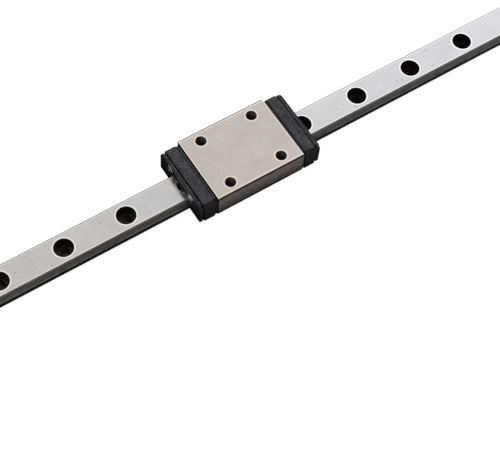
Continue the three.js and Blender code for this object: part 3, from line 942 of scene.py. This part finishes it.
def return_plate():
    """The plate behind an end cap, with the half-round guides inside the ball turns."""
    start = span("return_plate_front")[0]
    end = span("end_cap_front")[0] - PLATE_GAP
    plate = end_plate("return_plate", RAIL_GAP, PLATE_EDGE, x1=end)
    reach = GUIDE_RADIUS + OUTSIDE
    guides = []
    for side in SIDES.values():
        low = (TURN_X - reach, side * TURN_Y - reach, 0)
        high = (end - GUIDE_ROOT, side * TURN_Y + reach, BLOCK_HIGH.z)
        back = cuboid(low, high)
        guides.append(carved(turn_guide(side), [back]))
    plate = carved(plate, guides, "UNION")
    cutters = []
    for side in SIDES.values():
        for y in (BALL_Y, RETURN_Y):
            cutters.append(rod_x(start - OUTSIDE, TURN_X, side * y, BALL_Z, CHANNEL_RADIUS))
        cutters.append(ball_turn(side, keep_back=False))
        cutters.append(screw_hole(side, start - OUTSIDE, end + OUTSIDE))
    return carved(plate, cutters)


def end_cap():
    """The moulded cap, hollowed for the ball turns, the guides and the wires' hooks."""
    start, end = span("end_cap_front")
    half = WIRE_RADIUS + FIT
    cutters = []
    for side in SIDES.values():
        ys = sorted((0, side * (WIRE_HOOK_Y + FIT)))
        low = (WIRE_HOOK_X - half, ys[0], BALL_Z - half)
        high = (end + OUTSIDE, ys[1], BALL_Z + half)
        cutters += [ball_turn(side), turn_guide(side, FIT), cuboid(low, high), grease_port(side)]
        cutters.append(screw_hole(side, start - OUTSIDE, end + OUTSIDE))
    return carved(end_plate("end_cap", RAIL_GAP, CAP_EDGE), cutters)


def end_seal():
    """The end seal: a plate with a thin lip round its opening, recessed between its screws."""
    start, end = span("end_seal_front")
    blank = end_plate("end_seal", LIP_GAP, LIP_EDGE, lipped=True)
    corners = outer_corners("end_seal_front", SEAL_BACK_EDGE + OVERLAP)
    outline = rounded(mirrored(corners), steps=5)
    hull = bar(outline, start, end, round_edge(SEAL_FRONT_EDGE), bevel_edge(SEAL_BACK_EDGE))
    blank = carved(blank, [hull], "INTERSECT")
    opening_y = RAIL_HIGH.y + SEAL_BODY_GAP
    opening_z = RAIL_HIGH.z + SEAL_BODY_GAP
    relief = rounded(mirrored([(opening_y, -OUTSIDE, 0), (opening_y, opening_z, RAIL_TOP_CHAMFER)]))
    heights = (RECESS_BASE, RECESS_TOP)
    recess = rounded(mirrored([(RECESS_HALF_WIDTH, z, RECESS_FILLET) for z in heights]))
    cutters = [
        bar(relief, start - OUTSIDE, end - LIP_THICKNESS),
        bar(recess, end - RECESS_DEPTH, end + OUTSIDE),
    ]
    for side in SIDES.values():
        cutters.append(screw_hole(side, start - OUTSIDE, end + OUTSIDE))
        cutters.append(screw_hole(side, end - HEAD_SEAT_DEPTH, end + OUTSIDE, HEAD_RADIUS + FIT))
        cutters.append(grease_port(side))
    return carved(blank, cutters)


def end_screw():
    """A pan-head screw with a cross recess and a rolled thread, at y = 0 and z = 0."""
    start, end = span("end_screw_front_left")
    seat = span("end_seal_front")[1] - HEAD_SEAT_DEPTH + FIT
    base = [(HEAD_RADIUS - HEAD_BEVEL, seat), (HEAD_RADIUS, seat + HEAD_BEVEL)]
    crown = [
        (HEAD_RADIUS - CROWN_WIDTH * (1 - cos(a)), end - CROWN_HEIGHT * (1 - sin(a)))
        for a in (pi / 2 * k / 6 for k in range(7))
    ]
    head = turned([*base, *crown])
    into_head = 0.1
    length = seat + into_head - start
    shank = thread(length, SCREW_RADIUS, SCREW_MINOR_RADIUS, SCREW_THREAD_PITCH)
    screw = carved(moved(head, turn=ALONG_X), [moved(shank, start, turn=ALONG_X)], "UNION")
    cross = []
    for long, wide in ((CROSS_RADIUS, CROSS_WIDTH / 2), (CROSS_WIDTH / 2, CROSS_RADIUS)):
        rings = []
        for x, taper in ((end - CROSS_DEPTH, CROSS_TAPER), (end + OVERLAP, 1.0)):
            y, z = long * taper, wide * taper
            rings.append([(x, -y, -z), (x, y, -z), (x, y, z), (x, -y, z)])
        cross.append(solid(rings))
    return carved(screw, cross)


def place_at_end(mesh, end):
    """Puts a mesh that is drawn for the front end where it belongs."""
    return moved(mesh, CARRIAGE_X, turn=REAR if end < 0 else None)


def make_ends():
    """The plate, cap, seal and screws of both ends, the rear ones turned from the front ones."""
    parts = (
        ("return_plate", return_plate, "plate_plastic", PLATE_PLASTIC),
        ("end_cap", end_cap, "cap_plastic", CAP_PLASTIC),
        ("end_seal", end_seal, "seal_rubber", SEAL_RUBBER),
    )
    for kind, build, slot, paint in parts:
        front = build()
        for name, end in ENDS.items():
            mesh = place_at_end(front.copy(), end)
            piece(f"moulded_{kind}_{name}", mesh, "carriage", [paint], [f"{kind}_{name}"])
    front = end_screw()
    for name, end in ENDS.items():
        for hand, side in SIDES.items():
            mesh = moved(front.copy(), 0, end * side * SCREW_Y, SCREW_Z)
            mesh = place_at_end(mesh, end)
            node = f"end_screw_{name}_{hand}"
            piece(f"finished_{node}", mesh, "carriage", [SCREW_STEEL], [node])


# ---- balls and wires ----------------------------------------------------------------


def circuit_point(side, distance):
    """Where a ball stands after it has travelled distance from the middle of the loaded row."""
    straight = 2 * TURN_X
    turn = pi * TURN_RADIUS
    lap = 2 * (straight + turn)
    along = (distance + TURN_X) % lap
    if along <= straight:
        return Vector((along - TURN_X, side * BALL_Y, BALL_Z))
    if along <= straight + turn:
        angle = (along - straight) / TURN_RADIUS
        y = TURN_Y - TURN_RADIUS * cos(angle)
        return Vector((TURN_X + TURN_RADIUS * sin(angle), side * y, BALL_Z))
    back = circuit_point(side, distance - lap / 2)
    return Vector((-back.x, side * 2 * TURN_Y - back.y, BALL_Z))


def ball_mesh(centres):
    """Polished balls at the given centres, in one mesh."""
    mesh = bpy.data.meshes.new("balls")
    form = bmesh.new()
    for centre in centres:
        bmesh.ops.create_icosphere(
            form, subdivisions=3, radius=BALL_RADIUS, matrix=Matrix.Translation(centre)
        )
    form.to_mesh(mesh)
    form.free()
    for _ in range(PAINTS):
        mesh.materials.append(None)
    return mesh


def make_balls():
    """The loaded balls one by one, and the unloaded ones of each circuit as one loose row."""
    pitch = (4 * TURN_X + 2 * pi * TURN_RADIUS) / BALLS_PER_CIRCUIT
    first = -(LOADED_BALLS // 2)
    for hand, side in SIDES.items():
        unloaded = []
        for i in range(BALLS_PER_CIRCUIT):
            centre = circuit_point(side, (first + i) * pitch) + Vector((CARRIAGE_X, 0, 0))
            if i >= LOADED_BALLS:
                unloaded.append(centre)
                continue
            node = f"ball_{hand}_{i + 1:02d}"
            mesh = ball_mesh([centre])
            piece(f"polished_{node}", mesh, "carriage", [BALL_STEEL], [node])
        node = f"ball_chain_{hand}"
        mesh = ball_mesh(unloaded)
        piece(f"returning_balls_{hand}", mesh, "carriage", [BALL_STEEL], [node])


def make_wires():
    """The bent wires that keep the balls in."""
    bend_x = WIRE_HOOK_X - WIRE_BEND_RADIUS
    bend_y = WIRE_Y + WIRE_BEND_RADIUS
    for hand, side in SIDES.items():
        half = [Vector((WIRE_HOOK_X, WIRE_HOOK_Y, 0))]
        for k in range(9):
            angle = pi / 2 * k / 8
            x = bend_x + WIRE_BEND_RADIUS * cos(angle)
            half.append(Vector((x, bend_y - WIRE_BEND_RADIUS * sin(angle), 0)))
        path = half + [Vector((-p.x, p.y, 0)) for p in reversed(half)]
        path = [Vector((p.x + CARRIAGE_X, side * p.y, BALL_Z)) for p in path]
        node = f"retainer_wire_{hand}"
        mesh = tube(path, WIRE_RADIUS)
        piece(f"bent_{node}", mesh, "carriage", [WIRE_STEEL], [node])


# ---- stage --------------------------------------------------------------------------

AIM = Vector((-17.08, -16.86, 4.8)) * MM
CAMERA_DISTANCE = 0.2711
CAMERA_AZIMUTH = radians(-128.65)
CAMERA_ELEVATION = radians(61.5)
CAMERA_ROLL = radians(6.68)
CAMERA_LENS = 92.15
FLOOR_HALF = 1.5
FLOOR_GLOW = 0.94
FLOOR_GREY = 0.12
SHADE_INSET = 0.5  # how far inside the rail's outline the floor is dark

# the dark parts of the surround: a direction, the angles from it where the dark is full and
# where it starts, and the light that is left
DARK_PARTS = (
    (Vector((0.3, -0.86, 0.4)).normalized(), 14, 50, 0.25),
    (Vector((0.86, 0.36, -0.35)).normalized(), 12, 34, 0.15),
    (Vector((-0.55, 0.4, -0.73)).normalized(), 32, 58, 0.06),
)
BELOW_LIGHT = 0.095  # the light from below, against 1 from above
WARM_X = 0.1  # the direction's x where the surround is warmest
COOL_X = 0.45  # how far from it the surround is fully cool
WARM = (0.735, 0.7, 0.615)
COOL = (1.17, 1.185, 1.25)


def make_camera():
    """The camera, at the object's main viewing angle."""
    data = bpy.data.cameras.new("camera")
    data.lens = CAMERA_LENS
    data.clip_start = 0.01
    camera = bpy.data.objects.new("camera", data)
    bpy.context.scene.collection.objects.link(camera)
    back = Vector(
        (
            cos(CAMERA_ELEVATION) * cos(CAMERA_AZIMUTH),
            cos(CAMERA_ELEVATION) * sin(CAMERA_AZIMUTH),
            sin(CAMERA_ELEVATION),
        )
    )
    camera.location = AIM + back * CAMERA_DISTANCE
    camera.rotation_mode = "QUATERNION"
    level = back.to_track_quat("Z", "Y")
    camera.rotation_quaternion = level @ Quaternion((0, 0, 1), CAMERA_ROLL)
    bpy.context.scene.camera = camera


def make_floor():
    """A softly glowing white floor with painted shade under the rail, that reflections don't show."""
    mesh = bpy.data.meshes.new("floor")
    signs = ((-1, -1), (1, -1), (1, 1), (-1, 1))
    corners = [(x * FLOOR_HALF, y * FLOOR_HALF, 0) for x, y in signs]
    mesh.from_pydata(corners, [], [(0, 1, 2, 3)])
    floor = holder("floor", mesh)
    nodes = Nodes("floor_paint")
    x, y, _ = nodes.split(nodes.place)
    half_length = (RAIL_HIGH.x - SHADE_INSET) * MM
    half_width = (RAIL_HIGH.y - SHADE_INSET) * MM
    # painted shade on the floor under the rail, seen through its holes
    in_length = nodes.math("LESS_THAN", nodes.math("ABSOLUTE", x), half_length)
    in_width = nodes.math("LESS_THAN", nodes.math("ABSOLUTE", y), half_width)
    unshaded_floor = nodes.math("SUBTRACT", 1.0, nodes.math("MULTIPLY", in_length, in_width))
    paint = nodes.finish(
        Base_Color=rgb(FLOOR_GREY, FLOOR_GREY, FLOOR_GREY),
        Roughness=1.0,
        Emission_Color=rgb(1, 1, 1),
        Emission_Strength=nodes.math("MULTIPLY", unshaded_floor, FLOOR_GLOW),
    )
    mesh.materials.append(paint)
    floor.visible_diffuse = False
    floor.visible_glossy = False


def make_world():
    """
    A soft surround: bright above and dim below, with a few dark parts, and warm across the
    rail's middle but cooler towards both of its ends.
    """
    nodes = WorldNodes("surround")
    x, y, z = nodes.split(nodes.place)
    strength = nodes.spread(z, BELOW_LIGHT, 1.0, -0.6, -0.1, smooth=True)
    for middle, full, start, left in DARK_PARTS:
        towards = nodes.total((x, middle.x), (y, middle.y), (z, middle.z))
        outer, inner = cos(radians(start)), cos(radians(full))
        dark = nodes.spread(towards, 1.0, left, outer, inner, smooth=True)
        strength = nodes.math("MULTIPLY", strength, dark)
    from_warm = nodes.math("ABSOLUTE", nodes.math("SUBTRACT", x, WARM_X))
    along = nodes.spread(from_warm, 0.0, 1.0, 0.0, COOL_X)
    tint = nodes.blend(along, rgb(*WARM), rgb(*COOL))
    nodes.put(nodes.shader.inputs["Color"], tint)
    nodes.put(nodes.shader.inputs["Strength"], strength)


bpy.context.scene.view_settings.view_transform = "Standard"
make_camera()
make_floor()
make_world()
make_rail()
make_block()
make_ends()
make_balls()
make_wires()
